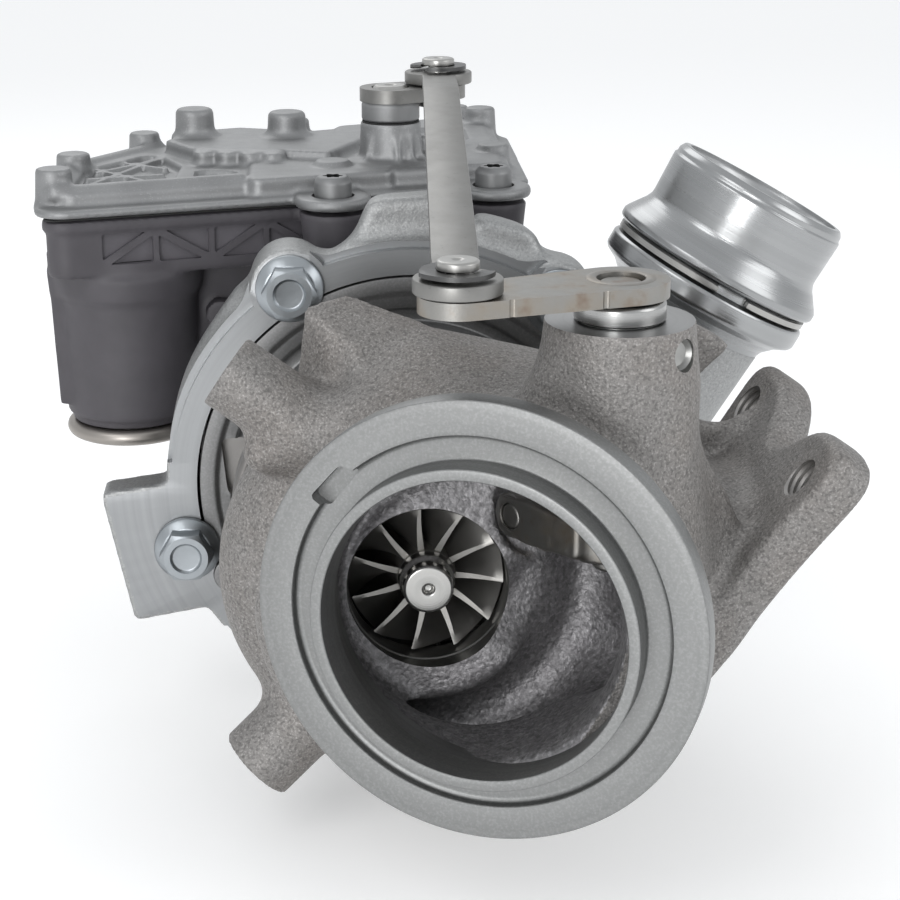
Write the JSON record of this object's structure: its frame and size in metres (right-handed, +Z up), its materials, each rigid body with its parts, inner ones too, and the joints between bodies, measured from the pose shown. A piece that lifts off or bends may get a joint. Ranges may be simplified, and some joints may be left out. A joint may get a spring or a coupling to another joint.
{
  "type": "turbocharger",
  "caption": "Engine turbocharger: turbine housing with wastegate, bearing core, compressor housing and an electric wastegate actuator with its linkage.",
  "frame": {"origin": "middle of the manifold flange's face, on the wall between its two gas ports", "axes": "+Y along the rotor's shaft from the turbine towards the compressor's inlet, +Z up along the wastegate's shaft, +X towards the manifold"},
  "size_m": [0.175, 0.2292, 0.1421],
  "materials": {
    "cast_iron": "rough sand-cast, brown-grey",
    "cast_aluminium": "fine cast, blasted",
    "machined_aluminium": "bright machined",
    "satin_steel": "satin",
    "zinc_steel": "bluish zinc plate",
    "dark_steel": "phosphated",
    "heat_resisting_alloy": "investment cast nickel alloy",
    "bronze": "turned",
    "plastic": "glass-filled moulding",
    "rubber": "matt"
  },
  "bodies": {
    "housing": {"turbine_housing": "cast_iron", "manifold_flange": "cast_iron", "wastegate_bush": "satin_steel", "bearing_housing": "cast_iron", "heat_shield": "satin_steel", "clamp_band": "satin_steel", "bearing_turbine_side": "bronze", "bearing_spacer": "satin_steel", "bearing_compressor_side": "bronze", "thrust_bearing": "bronze", "compressor_backplate": "cast_aluminium", "compressor_housing": "cast_aluminium", "compressor_inlet": "cast_aluminium", "compressor_spigot": "machined_aluminium", "housing_bolt_1": "zinc_steel", "housing_bolt_2": "zinc_steel", "housing_bolt_3": "zinc_steel", "housing_bolt_4": "zinc_steel", "housing_bolt_5": "zinc_steel", "spigot_clip": "satin_steel", "actuator_body": "plastic", "actuator_cover": "cast_aluminium", "cover_gasket": "rubber", "motor": "satin_steel", "motor_cap": "satin_steel", "intermediate_axle": "satin_steel", "actuator_screw_1": "satin_steel", "actuator_screw_2": "satin_steel", "actuator_screw_3": "zinc_steel"},
    "rotor": {"turbine_wheel": "heat_resisting_alloy", "compressor_wheel": "machined_aluminium", "thrust_collar": "satin_steel", "shaft_nut": "dark_steel"},
    "wastegate": {"wastegate_shaft": "satin_steel", "wastegate_lever": "satin_steel", "valve_arm": "heat_resisting_alloy", "valve_disc": "heat_resisting_alloy", "valve_washer": "satin_steel", "lever_pin": "satin_steel", "lever_clip": "dark_steel"},
    "actuator_output": {"output_shaft": "satin_steel", "output_sector": "satin_steel", "output_lever": "satin_steel", "output_pin": "satin_steel", "output_clip": "dark_steel"},
    "link": {"link_strap": "satin_steel"},
    "pinion": {"motor_pinion": "satin_steel"},
    "idler": {"intermediate_gear": "bronze"}
  },
  "joints": [
    {"name": "rotor_spin", "type": "hinge", "parent": "housing", "child": "rotor", "pos_m": [-0.06333, 0.038, -0.00327], "axis": [0, 1, 0], "continuous": true},
    {"name": "actuator_turn", "type": "hinge", "parent": "housing", "child": "actuator_output", "pos_m": [-0.06513, 0.098, 0.06923], "axis": [0, 0, 1], "range_deg": [-42, 0]},
    {"name": "link_pivot", "type": "hinge", "parent": "actuator_output", "child": "link", "pos_m": [-0.05393, 0.1025, 0.07493], "axis": [0, 0, 1], "range_deg": [0, 43.51]},
    {"name": "wastegate_turn", "type": "hinge", "parent": "housing", "child": "wastegate", "pos_m": [-0.03033, -0.024, 0.05173], "axis": [0, 0, 1], "range_deg": [0, 17.89]},
    {"name": "idler_spin", "type": "hinge", "parent": "housing", "child": "idler", "pos_m": [-0.10236, 0.10245, 0.04673], "axis": [0, 0, 1], "range_deg": [0, 89.25]},
    {"name": "pinion_spin", "type": "hinge", "parent": "housing", "child": "pinion", "pos_m": [-0.12533, 0.082, 0.04673], "axis": [0, 0, 1], "range_deg": [-368.16, 0]}
  ],
  "couplings": [
    {"joint": "link_pivot", "follows": "actuator_turn", "ratio": -1.036},
    {"joint": "wastegate_turn", "follows": "actuator_turn", "ratio": -0.426},
    {"joint": "idler_spin", "follows": "actuator_turn", "ratio": -2.125},
    {"joint": "pinion_spin", "follows": "actuator_turn", "ratio": 8.7656}
  ]
}
